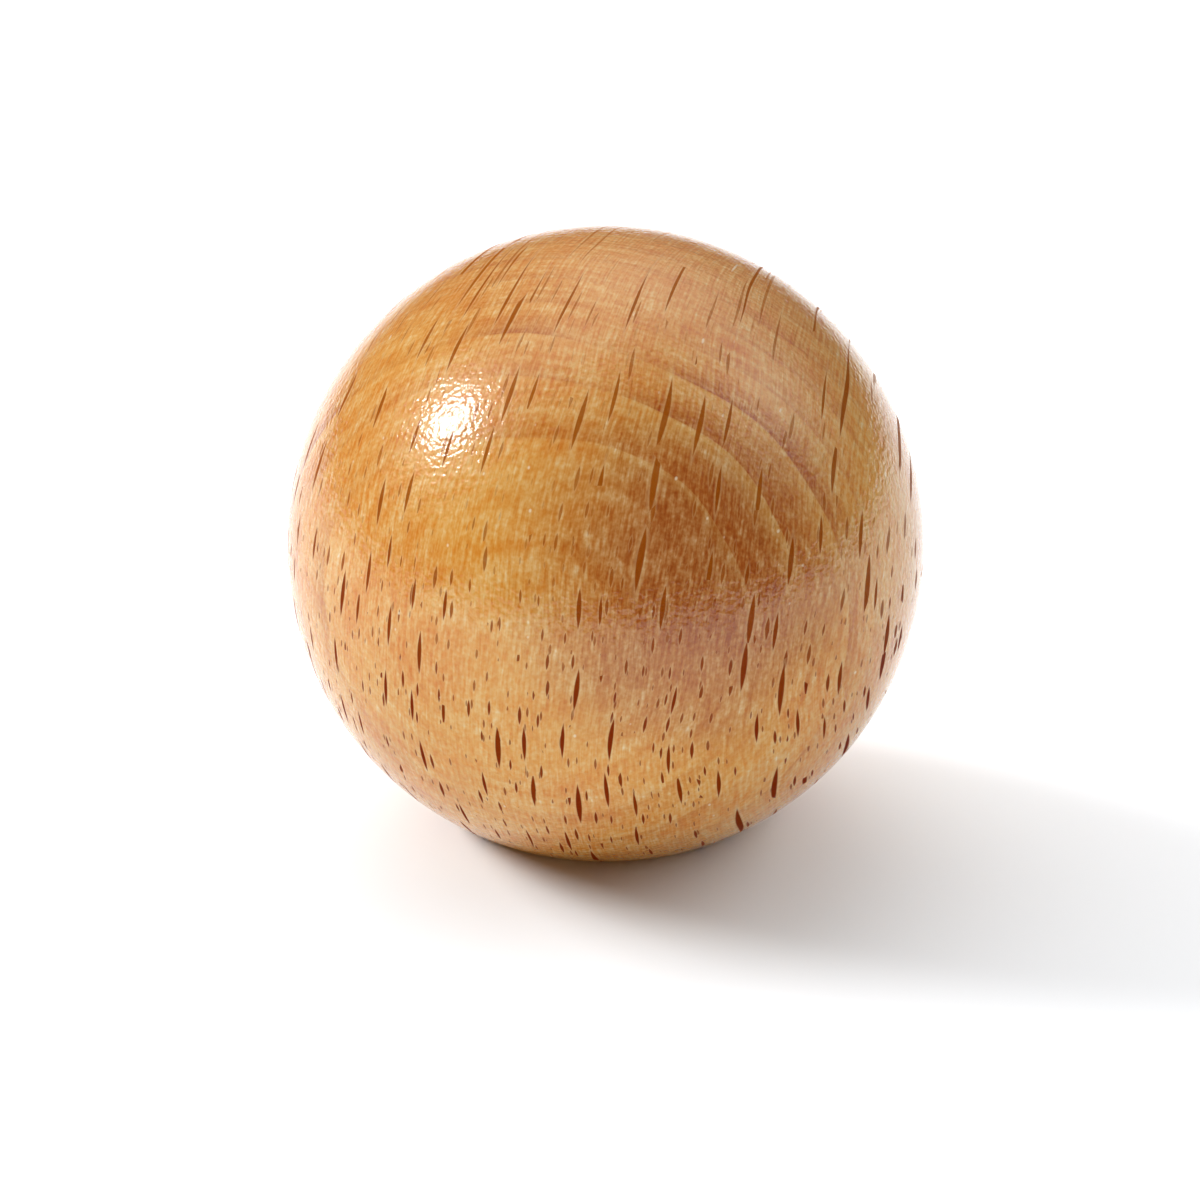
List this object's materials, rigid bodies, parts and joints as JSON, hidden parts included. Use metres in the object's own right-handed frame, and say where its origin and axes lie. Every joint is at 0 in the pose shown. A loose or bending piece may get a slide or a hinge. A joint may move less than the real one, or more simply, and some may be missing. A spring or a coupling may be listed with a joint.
{
  "type": "ball cabinet knob",
  "caption": "Turned wooden ball knob with a small flat mounting face and a pressed-in brass thread insert that takes a machine screw from behind a door or drawer front.",
  "frame": {"origin": "centre of the flat mounting face, in the plane of that face", "axes": "+Z along the knob's axis, out of the mounting face through the middle of the ball; the wood's fibres run within about 5 degrees of +Z, as a ball turned from a square of beech along its length has them, and its growth rings are cut on the -Y side"},
  "size_m": [0.03, 0.03, 0.0279],
  "materials": {
    "lacquered_beech": "clear semi-gloss lacquer",
    "insert_brass": "machined"
  },
  "bodies": {
    "root": {"ball": "lacquered_beech", "threaded_insert": "insert_brass"}
  },
  "joints": []
}
